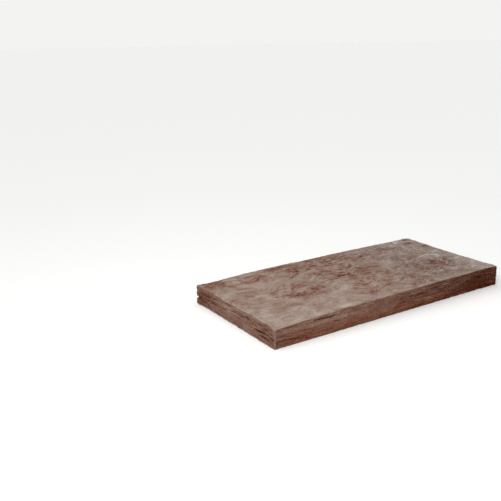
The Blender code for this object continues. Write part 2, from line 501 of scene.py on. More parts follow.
tear_values = [torn_at(vertex.co) for vertex in net.vertices]
store(net, "tear", tear_values)
print(f"the highest tear reaches {max(tear_values) / MM:.1f} mm up")

# %% [markdown]
# ## A lifted curl, swollen arrises and tufts
# Towards the right end a flap of the top sheet was caught, lifted and laid back, and its edge stands up
# as a low curl with a hollow beside it. Along some arrises the felt has swollen by a few millimetres,
# because nothing presses it there. Both are soft lines with a height: above the face for the curl and the
# swells, below it for a hollow. A few more lines say where pale fibres were pulled up in tufts. Two
# upright corners bulge a little too, and one more value says how near a point is to an arris, where
# fibres are combed over. The arris is coloured pale there, partly for those fibres and partly as a
# painted highlight, which fades out towards the right end where the light falls off.

# %% The folds, swells and tufts
Fold = namedtuple("Fold", "places half_width height")
FOLDS = (
    Fold(((1062, 300), (1095, 294), (1133, 299), (1156, 318), (1150, 334), (1128, 340)), 6.0, 1.0),
    Fold(((1100, 330), (1092, 380), (1084, 436)), 16.0, -0.5),
    Fold(((966, 489), (980, 500), (997, 512)), 7.0, 0.3),
    Fold(((1044, 482), (1060, 503), (1075, 524)), 7.0, 0.3),
    Fold(((380, 172), (402, 160)), 4.5, -0.8),
    Fold(((283, 352), (300, 372), (330, 386)), 8.0, -0.5),
)
SWELLS = (
    Fold(((300, 600), (1240, 600)), 26.0, 0.8),
    Fold(((1250, 0), (1250, 170)), 24.0, 0.7),
    Fold(((1250, 26), (1250, 40)), 14.0, 0.5),
    Fold(((230, 0), (500, 0)), 30.0, 0.45),
)
TUFTS = (
    Fold(((1062, 300), (1095, 294), (1133, 299), (1156, 318)), 6.0, 0.5),
    Fold(((1156, 318), (1152, 330), (1138, 338)), 6.0, 1.5),
    Fold(((1142, 50), (1159, 36)), 9.0, 1.8),
    Fold(((960, 470), (978, 488), (1004, 496)), 10.0, 0.12),
    Fold(((1050, 470), (1057, 500), (1072, 520)), 10.0, 0.12),
    Fold(((1195, 406), (1232, 398)), 6.0, 0.30),
    Fold(((1180, 270), (1215, 262)), 6.0, 0.40),
    Fold(((1196, 500), (1228, 482)), 6.0, 0.40),
)
print(f"{len(FOLDS)} folds, {len(SWELLS)} swells and {len(TUFTS)} tufts on the top face")

# %% How high each point is lifted
def fold_height(place, fold):
    """How far the fold lifts a place, as a share of the tallest curl."""
    nearest = min(way.length for way in ways_from(fold.places, place))
    return fold.height * math.exp(-(nearest / fold.half_width) ** 2)


def folded(folds, point):
    """The sum of the folds at a point of the top, fading to 0 halfway down the edges."""
    upper = max(2.0 * point.z / thickness - 1.0, 0.0)
    return upper ** 2 * sum(fold_height(on_top(point), fold) for fold in folds) if upper else 0.0


lifts = [folded(FOLDS + SWELLS, vertex.co) for vertex in net.vertices]
store(net, "lift", lifts)
store(net, "tuft", [folded(TUFTS, vertex.co) for vertex in net.vertices])
print(f"the lift runs from {min(lifts):.2f} to {max(lifts):.2f}")

# %% The bulged corners and the arrises
BULGED_CORNERS = ((low.x, high.y), (high.x, low.y))
BULGE, BULGE_REACH = 4.0 * MM, 50.0 * MM
ARRIS_REACH = 4.0
UPRIGHT_SHARE = 0.60
RIM_FADE_START, RIM_FADE_END = -150.0 * MM, 220.0 * MM


def bulge_at(point):
    """How far a point stands out from the block beside the two corners that bulge, in metres."""
    aways = ((point.to_2d() - Vector(corner)).length / BULGE_REACH for corner in BULGED_CORNERS)
    return BULGE * sum(math.exp(-away ** 2) for away in aways)


def arris_at(point):
    """1 on an upper arris, falling to 0 a few millimetres from it, and less on an upright arris."""
    sides = zip(point.to_2d(), low, high)
    end, edge = (min(place - least, most - place) / MM for place, least, most in sides)
    upper = math.exp(-(max(min(end, edge), (high.z - point.z) / MM) / ARRIS_REACH) ** 2)
    upright = UPRIGHT_SHARE * math.exp(-(max(end, edge) / ARRIS_REACH) ** 2)
    return max(upper, upright)


def rim_wear_and_highlight_at(point):
    """How pale the arris is at a point: rubbed fibres and painted highlight, fading out where light falls
    off.
    """
    gone = (point.x - RIM_FADE_START) / (RIM_FADE_END - RIM_FADE_START)
    return arris_at(point) * (1.0 - min(max(gone, 0.0), 1.0))


# The rim is pale where fibres are rubbed and where a highlight is painted on the upper arrises.
for name, value_at in (("bulge", bulge_at), ("arris", arris_at), ("rim", rim_wear_and_highlight_at)):
    store(net, name, [value_at(vertex.co) for vertex in net.vertices])
print("the skin keeps", sorted(layer.name for layer in net.attributes if layer.data_type == "FLOAT"))

# %% [markdown]
# ## Geometry Nodes in a script
# A Geometry Nodes tree has named inputs, and a modifier holds a value for each under the input's
# identifier. The next two functions open a tree with its inputs, and run a tree on a mesh. The run keeps
# the result as a plain mesh and takes the modifier off again, so nothing stays live.

# %% Open a tree, and run one
SOCKET_KINDS = {float: "NodeSocketFloat", int: "NodeSocketInt", str: "NodeSocketString"}


def open_tree(name, values):
    """A new tree with a mesh input and one input for each value. Returns it with its input sockets."""
    tree = bpy.data.node_groups.new(name, "GeometryNodeTree")
    tree.interface.new_socket("Geometry", in_out="INPUT", socket_type="NodeSocketGeometry")
    for title, value in values.items():
        kind = SOCKET_KINDS.get(type(value), "NodeSocketMaterial")
        tree.interface.new_socket(title, in_out="INPUT", socket_type=kind)
    tree.interface.new_socket("Geometry", in_out="OUTPUT", socket_type="NodeSocketGeometry")
    return tree, tree.nodes.new("NodeGroupInput").outputs


def run_tree(name, mesh, tree, values):
    """A plain mesh object made by the tree from a mesh, with these values on its inputs."""
    piece = bpy.data.objects.new(name, mesh)
    bpy.context.scene.collection.objects.link(piece)
    modifier = piece.modifiers.new(tree.name, "NODES")
    modifier.node_group = tree
    for item in tree.interface.items_tree:
        if item.in_out == "INPUT" and item.name in values:
            modifier[item.identifier] = values[item.name]
    bpy.context.view_layer.update()
    graph = bpy.context.evaluated_depsgraph_get()
    evaluated = piece.evaluated_get(graph)
    made = bpy.data.meshes.new_from_object(evaluated, preserve_all_data_layers=True, depsgraph=graph)
    piece.modifiers.remove(modifier)
    piece.data = made
    made.name = name
    return piece


# %% [markdown]
# ## The material: resin-bonded mineral wool
# The fibres are clear glass and the resin on them is brown, so the wool is a dull brown that scatters
# light and never shines. Fibres that lie flat on the face show pale and greyish, because they catch the
# light from above, and the resin shows redder where the wool was cut and light sinks in between layers.
#
# The resin isn't even. The face turns from a warm brown at the left end to a frizzy grey at the right end,
# and thin pale lint lies on it, most of all on the grey part. The near edge is painted darker and redder
# towards the right end, over the near side and low down: painted shade, for the light that falls off to
# the right and the shade along its foot. The arrises are pale, partly rubbed and partly a painted
# highlight, and the tufts are pale too.

# %% The wool's colours
FACE_COLOURS = (
    (0.00, "#48261b"), (0.20, "#643f32"), (0.38, "#7a5a4c"), (0.56, "#89756a"), (0.76, "#9a8b82"),
    (1.00, "#b0a39c"),
)
GREY_COLOURS = (
    (0.00, "#43261b"), (0.22, "#5f4439"), (0.42, "#745e54"), (0.58, "#84756c"), (0.80, "#998e87"),
    (1.00, "#bdb6b1"),
)
CUT_COLOURS = (
    (0.00, "#3a1a11"), (0.25, "#5a3729"), (0.45, "#6f5346"), (0.62, "#7f6459"), (0.82, "#927b6f"),
    (1.00, "#ab998d"),
)
LINT_COLOUR = "#bfb4ae"
RESIN_COLOUR = "#5c3423"
# The arris colour is partly rubbed fibres and partly a painted highlight.
ARRIS_WEAR_AND_HIGHLIGHT_COLOUR = "#c9b9af"
TUFT_COLOUR = "#d6ccc6"
# Painted shade: the three tints below darken and redden the cut edges, most towards the right on the near
# side, over the whole near side, and low down on it.
RIGHTWARD_SHADE_TINT = (0.47, 0.31, 0.25, 1.0)
NEAR_SIDE_SHADE_TINT = (1.0, 0.92, 0.87, 1.0)
FOOT_SHADE_TINT = (0.98, 0.76, 0.65, 1.0)
print("the face runs from", FACE_COLOURS[0][1], "to", FACE_COLOURS[-1][1])

# %% [markdown]
# Every pattern of the wool is noise, used in three ways. Noise that pushes a place about bends plain
# blots into feathery strokes. Noise stretched along the slab gives fibres, and noise squeezed in height
# gives layers. Then each pattern is centred on 0, weighed and added to the others, and the sum goes
# through a ramp of colours.
#
# A real fibre is far too thin to show, so the finest strokes stand for bundles of fibres about 1.5 mm
# wide, and the finest layers for bundles about 2 mm thick.

# %% Push, stretch and weigh a pattern
STORED = "ShaderNodeAttribute"
COLOURS = {"output": 2, "data_type": "RGBA"}

Push = namedtuple("Push", "size reach")
SWIRL = Push(150.0, 80.0)
EDDY = Push(38.0, 9.0)

Pattern = namedtuple("Pattern", "sizes detail roughness")
NOISE_MIDDLE = 0.5


def pushed(tree, place, push):
    """A place pushed about by noise of the push's size, as far as its reach, in millimetres."""
    swirl = add(tree, NOISE, {"Vector": place, "Scale": 1 / push.size, "Detail": 1.0}, output="Color")
    centred = add(tree, VECTOR, {0: swirl, 1: (NOISE_MIDDLE,) * 3}, operation="SUBTRACT")
    shift = add(tree, VECTOR, {0: centred, "Scale": 2 * push.reach}, operation="SCALE")
    return add(tree, VECTOR, {0: place, 1: shift}, operation="ADD")


def stretched(tree, place, pattern):
    """Noise whose blots have the pattern's three sizes in millimetres, as a value about 0.5."""
    shrink = [1 / size for size in pattern.sizes]
    scaled = add(tree, VECTOR, {0: place, 1: shrink}, operation="MULTIPLY")
    sockets = {"Vector": scaled, "Scale": 1.0, "Detail": pattern.detail, "Roughness": pattern.roughness}
    return add(tree, NOISE, sockets, output="Fac")


def weighed(tree, base, values, weights):
    """A base plus several values. Each weight is the value's middle, and how much it lightens."""
    total = base
    for name, value in values.items():
        middle, weight = weights[name]
        centred = add(tree, MATH, {0: value, 1: middle}, operation="SUBTRACT")
        total = add(tree, MATH, {0: centred, 1: weight, 2: total}, operation="MULTIPLY_ADD")
    return total


print(f"swirls of {SWIRL.size:.0f} mm push as far as {SWIRL.reach:.0f} mm")

# %% The marbling of a broad face
BLOTS = Pattern((62.0, 62.0, 62.0), 4.0, 0.6)
WISPS = Pattern((75.0, 17.0, 17.0), 3.0, 0.5)
STROKES = Pattern((34.0, 8.5, 8.5), 3.0, 0.6)
THREADS = Pattern((13.0, 1.5, 1.5), 2.0, 0.55)
WISPS_SHOW = {"From Min": 0.44, "From Max": 0.66}
STROKES_BREAK = {"From Min": 0.32, "From Max": 0.66, "To Max": 0.8}
UNBROKEN = 0.6
FACE_BASE = 0.62
FACE_WEIGHTS = {
    "blots": (NOISE_MIDDLE, 0.75), "wisps": (0.0, -0.34), "strokes": (NOISE_MIDDLE, -0.46),
    "threads": (NOISE_MIDDLE, 0.42), "marks": (0.0, -0.165),
}


def face_value(tree, swirled):
    """How pale the marbling is at a swirled place of a broad face."""
    strokes = stretched(tree, swirled, STROKES)
    wisps = add(tree, RANGE, {"Value": stretched(tree, swirled, WISPS)} | WISPS_SHOW, **SMOOTH)
    wispy = add(tree, STORED, output="Fac", attribute_name="wispy")
    breaks = add(tree, RANGE, {"Value": strokes} | STROKES_BREAK, **SMOOTH)
    broken = add(tree, MATH, {0: breaks, 1: UNBROKEN}, operation="ADD")
    tone = add(tree, STORED, output="Fac", attribute_name="tone")
    values = {
        "blots": stretched(tree, swirled, BLOTS),
        "wisps": add(tree, MATH, {0: wisps, 1: wispy}, operation="MULTIPLY"),
        "strokes": strokes,
        "threads": stretched(tree, swirled, THREADS),
        "marks": add(tree, MATH, {0: tone, 1: broken}, operation="MULTIPLY"),
    }
    return weighed(tree, FACE_BASE, values, FACE_WEIGHTS)


print(f"the finest strokes of a face are {THREADS.sizes[1]} mm wide")

# %% The layers of a cut edge
WAVE = Push(150.0, 5.0)
LAYERS = Pattern((55.0, 55.0, 2.3), 3.0, 0.6)
BANDS = Pattern((300.0, 300.0, 15.0), 2.0, 0.55)
MOTTLES = Pattern((70.0, 70.0, 22.0), 3.0, 0.6)
CRUMBS = Pattern((10.0, 10.0, 4.0), 3.0, 0.65)
GRAIN, GRAIN_GAIN = 1.05, 1.3
CUT_BASE = 0.545
# The slit and sunk weights darken slits and places that sink in: painted shade in the recesses. The stain
# weight adds the edge patches, a few of them painted shade along the foot.
CUT_WEIGHTS = {
    "bands": (NOISE_MIDDLE, 0.35), "mottles": (NOISE_MIDDLE, 0.45),
    "slit": (0.0, -0.55), "sunk": (0.0, -0.30), "stain": (0.0, -0.22),
}


def cut_value(tree, place, rightward_shade):
    """How pale the layers are at a place of a cut edge, with stronger grain under the deepest painted
    shade.
    """
    waved = pushed(tree, place, WAVE)
    values = {
        "layers": stretched(tree, waved, LAYERS),
        "bands": stretched(tree, waved, BANDS),
        "mottles": stretched(tree, waved, MOTTLES),
        "crumbs": stretched(tree, place, CRUMBS),
    }
    for name in ("slit", "sunk", "stain"):
        values[name] = add(tree, STORED, output="Fac", attribute_name=name)
    grain = add(tree, MATH, {0: rightward_shade, 1: GRAIN_GAIN, 2: GRAIN}, operation="MULTIPLY_ADD")
    grained = {"layers": (NOISE_MIDDLE, grain), "crumbs": (NOISE_MIDDLE, grain)}
    return weighed(tree, CUT_BASE, values, CUT_WEIGHTS | grained)


print(f"the finest layers of an edge are {LAYERS.sizes[2]} mm thick")

# %% The colour of a broad face
FRIZZ = Pattern((22.0, 4.0, 4.0), 3.0, 0.55)
GREY_WEIGHTS = {"frizz": (NOISE_MIDDLE, 0.70)}
GREYED_ALONG = {"From Min": -40.0, "From Max": 450.0}
LINT = Pattern((60.0, 3.6, 3.6), 1.0, 0.55)
LINT_SHOWS = {"From Min": 0.56, "From Max": 0.70, "To Max": 0.60}
LINT_ON_WARM, LINT_MORE_ON_GREY = 0.3, 0.7


def face_colour(tree, drift, frizz):
    """The colour of a broad face: warm marbling that turns to frizzy grey, with lint laid on it."""
    swirled = pushed(tree, drift, EDDY)
    marbling = face_value(tree, swirled)
    frizzed = weighed(tree, marbling, {"frizz": frizz}, GREY_WEIGHTS)
    warm = add(tree, RAMP, {"Fac": marbling}, stops=FACE_COLOURS)
    grey = add(tree, RAMP, {"Fac": frizzed}, stops=GREY_COLOURS)
    along = add(tree, AXES, {0: drift}, output="X")
    greyed = add(tree, RANGE, {"Value": along} | GREYED_ALONG, **SMOOTH)
    bare = add(tree, MIX, {0: greyed, 6: warm, 7: grey}, **COLOURS)
    lint = add(tree, RANGE, {"Value": stretched(tree, swirled, LINT)} | LINT_SHOWS, **SMOOTH)
    laid = add(tree, MATH, {0: greyed, 1: LINT_MORE_ON_GREY, 2: LINT_ON_WARM}, operation="MULTIPLY_ADD")
    lint = add(tree, MATH, {0: lint, 1: laid}, operation="MULTIPLY")
    return add(tree, MIX, {0: lint, 6: bare, 7: linear(LINT_COLOUR)}, **COLOURS)


print(f"a strand of lint is about {LINT.sizes[0]:.0f} by {LINT.sizes[1]} mm")

# %% The colour of a cut edge
SOAK = Pattern((110.0, 110.0, 24.0), 3.0, 0.55)
SOAK_SHOWS = {"From Min": 0.42, "From Max": 0.70, "To Max": 0.4}
SINK = Push(24.0, 10.0)
NEARER = {"From Min": width / 2 / MM, "From Max": -width / 2 / MM}
RIGHTWARD_SHADE_ALONG = {"From Min": -120.0, "From Max": 600.0}
LOW_DOWN = {"From Min": 62.0, "From Max": 18.0}
OFF_END = {"From Min": low.x / MM, "From Max": low.x / MM + 60.0}


def cut_colour(tree, place, drift):
    """The colour of a cut edge: layers, soaked with resin in patches, and painted shade near, right and
    low.
    """
    # The painted shade is deepest on the near side towards the right end, and low down on the near side.
    along, across = add(tree, AXES, {0: drift}).node.outputs[:2]
    nearer = add(tree, RANGE, {"Value": across} | NEARER, **SMOOTH)
    rightward_shade = add(tree, RANGE, {"Value": along} | RIGHTWARD_SHADE_ALONG, **SMOOTH)
    rightward_shade = add(tree, MATH, {0: rightward_shade, 1: nearer}, operation="MULTIPLY")
    layered = add(tree, RAMP, {"Fac": cut_value(tree, place, rightward_shade)}, stops=CUT_COLOURS)
    soaked = add(tree, RANGE, {"Value": stretched(tree, drift, SOAK)} | SOAK_SHOWS, **SMOOTH)
    colour = add(tree, MIX, {0: soaked, 6: layered, 7: linear(RESIN_COLOUR)}, **COLOURS)
    inside = add(tree, AXES, {0: place}, output="X")
    nearest = add(tree, RANGE, {"Value": inside} | OFF_END, **SMOOTH)
    nearest = add(tree, MATH, {0: nearer, 1: nearest}, operation="MULTIPLY")
    height = add(tree, AXES, {0: pushed(tree, place, SINK)}, output="Z")
    lower = add(tree, RANGE, {"Value": height} | LOW_DOWN, **SMOOTH)
    lower = add(tree, MATH, {0: lower, 1: nearest}, operation="MULTIPLY")
    # The tints multiply the colour darker and redder: painted shade.
    for share, tint in ((rightward_shade, RIGHTWARD_SHADE_TINT), (nearest, NEAR_SIDE_SHADE_TINT), (lower, FOOT_SHADE_TINT)):
        tinted = {0: share, 6: colour, 7: tint}
        colour = add(tree, MIX, tinted, blend_type="MULTIPLY", **COLOURS)
    return colour


print(f"the resin soaks patches about {SOAK.sizes[0]:.0f} mm long")

# %% The wool's colour, wherever it is
RUBBED_AND_LIT = Pattern((30.0, 30.0, 8.0), 2.0, 0.55)
RUBBED_AND_LIT_SHOWS = {"From Min": 0.3, "From Max": 0.8, "To Max": 0.6}
TUFT_SHOWS = {"From Min": 0.30, "From Max": 0.60}


def wool_colour(tree, place):
    """The colour at a place: a face, a cut edge, pale fibres and painted highlight on arrises, pale tufts.
    """
    drift = pushed(tree, place, SWIRL)
    frizz = stretched(tree, pushed(tree, place, EDDY), FRIZZ)
    on_face = face_colour(tree, drift, frizz)
    on_cut = cut_colour(tree, place, drift)
    cut = add(tree, STORED, output="Fac", attribute_name="cut")
    colour = add(tree, MIX, {0: cut, 6: on_face, 7: on_cut}, **COLOURS)
    pale_fibres_and_highlight = (
        ("rim", stretched(tree, place, RUBBED_AND_LIT), RUBBED_AND_LIT_SHOWS, ARRIS_WEAR_AND_HIGHLIGHT_COLOUR),
        ("tuft", frizz, TUFT_SHOWS, TUFT_COLOUR),
    )
    for name, pattern, shows, hex_colour in pale_fibres_and_highlight:
        stored = add(tree, STORED, output="Fac", attribute_name=name)
        share = add(tree, RANGE, {"Value": pattern} | shows, **SMOOTH)
        share = add(tree, MATH, {0: stored, 1: share}, operation="MULTIPLY")
        colour = add(tree, MIX, {0: share, 6: colour, 7: linear(hex_colour)}, **COLOURS)
    return colour


def in_millimetres(tree):
    """The place on the object, in millimetres."""
    spot = add(tree, "ShaderNodeTexCoord", output="Object")
    return add(tree, VECTOR, {0: spot, "Scale": 1 / MM}, operation="SCALE")


# %% Make the wool's material
WOOL_ROUGHNESS = 0.95
FUZZ = Pattern((9.0, 1.6, 1.6), 3.0, 0.7)
FUZZ_PUSH = Push(12.0, 5.0)
FUZZ_STRENGTH, FUZZ_HEIGHT = 0.6, 1.2 * MM


def dull_material(name, roughness):
    """A new material that never shines. Returns it with its node tree and its shader's sockets."""
    material = bpy.data.materials.new(name)
    material.use_nodes = True
    sockets = material.node_tree.nodes["Principled BSDF"].inputs
    sockets["Roughness"].default_value = roughness
    sockets["Specular IOR Level"].default_value = 0.0
    return material, material.node_tree, sockets


def wool_material():
    """Resin-bonded glass wool, felted and sawn: dull, brown, marbled on its faces, layered on its edges."""
    material, tree, sockets = dull_material("resin_bonded_mineral_wool", WOOL_ROUGHNESS)
    place = in_millimetres(tree)
    tree.links.new(wool_colour(tree, place), sockets["Base Color"])
    fuzz = stretched(tree, pushed(tree, place, FUZZ_PUSH), FUZZ)
    bumped = {"Height": fuzz, "Strength": FUZZ_STRENGTH, "Distance": FUZZ_HEIGHT}
    tree.links.new(add(tree, "ShaderNodeBump", bumped), sockets["Normal"])
    return material


wool = wool_material()
print(f"{wool.name} has {len(wool.node_tree.nodes)} nodes")

# %% [markdown]
# ## Felted relief
# Now the skin gets its real relief, in one Geometry Nodes tree. On the cut edges, noise squeezed in
# height gives layers that stand out and sink in by a millimetre or so, broader steps of a few layers,
# and short slits. On the broad faces the same tree raises low swells. Along the underside's edge the saw
# tears the lowest layers, so the arris there is ragged. The layers, steps and swells go both ways about
# the block, because the block is the slab's full size. Slits only go inwards, bulges only outwards, and
# nothing goes below the floor.

# %% The sizes of the relief
RELIEF = {
    "Layer length": 40 * MM, "Layer thickness": 5 * MM, "Layer depth": 0.9 * MM,
    "Step length": 200 * MM, "Step thickness": 16 * MM, "Step depth": 1.0 * MM,
    "Slit length": 30 * MM, "Slit thickness": 4 * MM, "Slit depth": 3.5 * MM,
    "Crumb size": 9 * MM, "Crumb depth": 0.8 * MM,
    "Swell size": 110 * MM, "Swell height": 0.7 * MM, "Curl height": 4 * MM,
    "Rag length": 22 * MM, "Rag height": 4 * MM, "Rag reach": 16 * MM,
    "Material": wool,
}
print(f"layers {RELIEF['Layer thickness'] / MM:.0f} mm thick stand out {RELIEF['Layer depth'] / MM:.1f} mm")

# %% The relief of an edge and of a face
KEPT = "GeometryNodeInputNamedAttribute"
NUMBER = {"output": "Attribute", "data_type": "FLOAT"}
BOTH_WAYS = {"From Min": 0.25, "From Max": 0.75, "To Min": -1.0, "To Max": 1.0}
SLITS_OPEN = {"From Min": 0.60, "From Max": 1.10}


def signed_noise(tree, place, across, up, detail):
    """Noise from about -1 to 1, with blots of one size along the floor and another in height."""
    sizes = add(tree, JOINED, {0: across, 1: across, 2: up})
    scaled = add(tree, VECTOR, {0: place, 1: sizes}, operation="DIVIDE")
    value = add(tree, NOISE, {"Vector": scaled, "Scale": 1.0, "Detail": detail}, output="Fac")
    return add(tree, RANGE, {"Value": value} | BOTH_WAYS)


def edge_relief(tree, given, place):
    """How far a point of a cut edge stands out: its layers and steps, less its slits, plus its bulge."""
    layers, steps, gaps = (
        signed_noise(tree, place, given[name + " length"], given[name + " thickness"], detail)
        for name, detail in (("Layer", 2.0), ("Step", 1.0), ("Slit", 1.0))
    )
    parted = add(tree, RANGE, {"Value": gaps} | SLITS_OPEN, **SMOOTH)
    placed = add(tree, KEPT, {"Name": "slit"}, **NUMBER)
    opened = add(tree, MATH, {0: parted, 1: placed}, operation="MAXIMUM")
    out = add(tree, MATH, {0: layers, 1: given["Layer depth"]}, operation="MULTIPLY")
    out = add(tree, MATH, {0: steps, 1: given["Step depth"], 2: out}, operation="MULTIPLY_ADD")
    slit = add(tree, MATH, {0: opened, 1: given["Slit depth"]}, operation="MULTIPLY")
    out = add(tree, MATH, {0: out, 1: slit}, operation="SUBTRACT")
    bulge = add(tree, KEPT, {"Name": "bulge"}, **NUMBER)
    return add(tree, MATH, {0: out, 1: bulge}, operation="ADD")


def face_relief(tree, given, place):
    """How far a point of a broad face stands out from the block in low swells."""
    swells = signed_noise(tree, place, given["Swell size"], given["Swell size"], detail=3.0)
    return add(tree, MATH, {0: swells, 1: given["Swell height"]}, operation="MULTIPLY")


# %% The ragged foot
RAGS_TEAR = {"From Min": 0.0, "From Max": 0.9}


def torn_rise(tree, given, place):
    """How far up a point near the underside's edge is torn: most at the arris, 0 at the rag's reach."""
    x, y, z = add(tree, AXES, {0: place}).node.outputs
    past_end = add(tree, MATH, {0: x}, operation="ABSOLUTE")
    past_edge = add(tree, MATH, {0: y}, operation="ABSOLUTE")
    from_end = add(tree, MATH, {0: length / 2, 1: past_end}, operation="SUBTRACT")
    from_edge = add(tree, MATH, {0: width / 2, 1: past_edge}, operation="SUBTRACT")
    inset = add(tree, MATH, {0: from_end, 1: from_edge}, operation="MINIMUM")
    corner = add(tree, JOINED, {0: inset, 2: z})
    away = add(tree, VECTOR, {0: corner}, output="Value", operation="LENGTH")
    near = add(tree, RANGE, {"Value": away, "From Max": given["Rag reach"]} | FADING, **SMOOTH)
    rags = signed_noise(tree, place, given["Rag length"], given["Rag length"], detail=3.0)
    torn = add(tree, RANGE, {"Value": rags} | RAGS_TEAR)
    ragged_foot = add(tree, MATH, {0: torn, 1: given["Rag height"]}, operation="MULTIPLY")
    ragged_foot = add(tree, MATH, {0: ragged_foot, 1: near}, operation="MULTIPLY")
    lowest = add(tree, RANGE, {"Value": z, "From Max": given["Rag reach"]} | FADING, **SMOOTH)
    tear = add(tree, KEPT, {"Name": "tear"}, **NUMBER)
    torn_foot = add(tree, MATH, {0: tear, 1: lowest}, operation="MULTIPLY")
    return add(tree, MATH, {0: ragged_foot, 1: torn_foot}, operation="MAXIMUM")


# %% Build the relief tree and run it
KEEP = "GeometryNodeStoreNamedAttribute"
FACE_TURNS_TO_CUT = {"From Min": 0.60, "From Max": 0.95} | FADING
SINKS = {"From Min": -0.5 * MM, "From Max": -4 * MM}
FLOOR_LEVEL = (low.x - 1.0, low.y - 1.0, low.z)


def relief_tree():
    """Pushes each point of the net in or out, keeps how cut it is, and how sunk, for painted shade."""
    tree, given = open_tree("felted_relief", RELIEF)
    place = add(tree, "GeometryNodeInputPosition")
    normal = add(tree, "GeometryNodeInputNormal")
    upright = add(tree, MATH, {0: add(tree, AXES, {0: normal}, output="Z")}, operation="ABSOLUTE")
    cut = add(tree, RANGE, {"Value": upright} | FACE_TURNS_TO_CUT, **SMOOTH)
    edge = edge_relief(tree, given, place)
    face = face_relief(tree, given, place)
    out = add(tree, MIX, {0: cut, 2: face, 3: edge}, data_type="FLOAT")
    crumbs = signed_noise(tree, place, given["Crumb size"], given["Crumb size"], detail=2.0)
    out = add(tree, MATH, {0: crumbs, 1: given["Crumb depth"], 2: out}, operation="MULTIPLY_ADD")
    # How far an edge sinks in, kept for the painted shade in its recesses.
    sunk = add(tree, RANGE, {"Value": edge} | SINKS)
    marked = given["Geometry"]
    for name, value in (("cut", cut), ("sunk", sunk)):
        marked = add(tree, KEEP, {"Geometry": marked, "Name": name, "Value": value}, data_type="FLOAT")
    shift = add(tree, VECTOR, {0: normal, "Scale": out}, operation="SCALE")
    lift = add(tree, KEPT, {"Name": "lift"}, **NUMBER)
    risen = {0: lift, 1: given["Curl height"], 2: torn_rise(tree, given, place)}
    upwards = add(tree, JOINED, {2: add(tree, MATH, risen, operation="MULTIPLY_ADD")})
    moved = add(tree, VECTOR, {0: place, 1: shift}, operation="ADD")
    moved = add(tree, VECTOR, {0: moved, 1: upwards}, operation="ADD")
    above = add(tree, VECTOR, {0: moved, 1: FLOOR_LEVEL}, operation="MAXIMUM")
    placed = add(tree, "GeometryNodeSetPosition", {"Geometry": marked, "Position": above})
    smooth = add(tree, "GeometryNodeSetShadeSmooth", {0: placed})
    whole = add(tree, "GeometryNodeRealizeInstances", {0: smooth})
    dressed = add(tree, "GeometryNodeSetMaterial", {"Geometry": whole, "Material": given["Material"]})
    add(tree, "NodeGroupOutput", {0: dressed})
    return tree


skin = run_tree("felted_skin", net, relief_tree(), RELIEF)
print(f"felted_skin has {len(skin.data.polygons)} faces")

# %% [markdown]
# ## Loose fibres
# Wool is never quite smooth. Fibres lift off its faces, and more of them stand at the arrises, where the
# saw broke them. From far away they only soften the outline, and from close by they are what says wool.
# A real fibre is about 6 thousandths of a millimetre thick, so each hair here stands for a twisted
# bundle, and is drawn 0.32 to 0.44 mm thick so that it shows.
#
# Geometry Nodes scatter points over the skin, as many as an attribute asks for, and put one bent hair on
# each. A hair has three stretches of three sides, which is enough for something this thin.

# %% The fibres' material
FIBRE_COLOUR = "#d3c9c2"
FIBRE_ROUGHNESS = 0.8


def fibre_material():
    """Drawn glass fibre with a little resin: the wool's colour with its painted shade, paler where resin is
    thin.
    """
    material, tree, sockets = dull_material("drawn_glass_fibre", FIBRE_ROUGHNESS)
    bareness = add(tree, STORED, output="Fac", attribute_name="bareness")
    own = wool_colour(tree, in_millimetres(tree))
    colour = add(tree, MIX, {0: bareness, 6: own, 7: linear(FIBRE_COLOUR)}, **COLOURS)
    tree.links.new(colour, sockets["Base Color"])
    return material


fibre = fibre_material()
print(f"{fibre.name} has {len(fibre.node_tree.nodes)} nodes")

# %% Bend one hair
HAIR_SIDES, HAIR_STRETCHES = 3, 3
HAIR_BEND = 0.3


def bent_hair(tree, given):
    """A thin tube bent sideways and upwards, with its middle over the origin."""
    half = add(tree, MATH, {0: given["Length"], 1: 0.5}, operation="MULTIPLY")
    back = add(tree, MATH, {0: half, 1: -1.0}, operation="MULTIPLY")
    bend = add(tree, MATH, {0: given["Length"], 1: HAIR_BEND}, operation="MULTIPLY")
    start = add(tree, JOINED, {0: back})
    middle = add(tree, JOINED, {1: bend, 2: given["Rise"]})
    end = add(tree, JOINED, {0: half})
    path = {"Resolution": HAIR_STRETCHES, "Start": start, "Middle": middle, "End": end}
    hair = add(tree, "GeometryNodeCurveQuadraticBezier", path)
    ring = {"Resolution": HAIR_SIDES, "Radius": given["Radius"]}
    ring = add(tree, "GeometryNodeCurvePrimitiveCircle", ring)
    return add(tree, "GeometryNodeCurveToMesh", {"Curve": hair, "Profile Curve": ring, "Fill Caps": True})


# %% Turn and lean each hair by chance
CHANCE = "FunctionNodeRandomValue"
ANY_NUMBER = {"output": 1, "data_type": "FLOAT"}
TURN_SEED, LEAN_SEED, SIZE_SEED, BARE_SEED = 1, 2, 3, 4
LEAN = 0.35
SHORTEST, LONGEST = 0.5, 1.3


def turned_by_chance(tree, given, laid):
    """A rotation turned about its own Z as far as the spread, and then leaned about its own Y."""
    least = add(tree, MATH, {0: given["Spread"], 1: -1.0}, operation="MULTIPLY")
    turn = add(tree, CHANCE, {2: least, 3: given["Spread"], "Seed": TURN_SEED}, **ANY_NUMBER)
    lean = add(tree, CHANCE, {2: -LEAN, 3: LEAN, "Seed": LEAN_SEED}, **ANY_NUMBER)
    for axis, angle in (((0, 0, 1), turn), ((0, 1, 0), lean)):
        about = add(tree, "FunctionNodeAxisAngleToRotation", {"Axis": axis, "Angle": angle})
        rotated = {"Rotation": laid, "Rotate By": about}
        laid = add(tree, "FunctionNodeRotateRotation", rotated, rotation_space="LOCAL")
    return laid


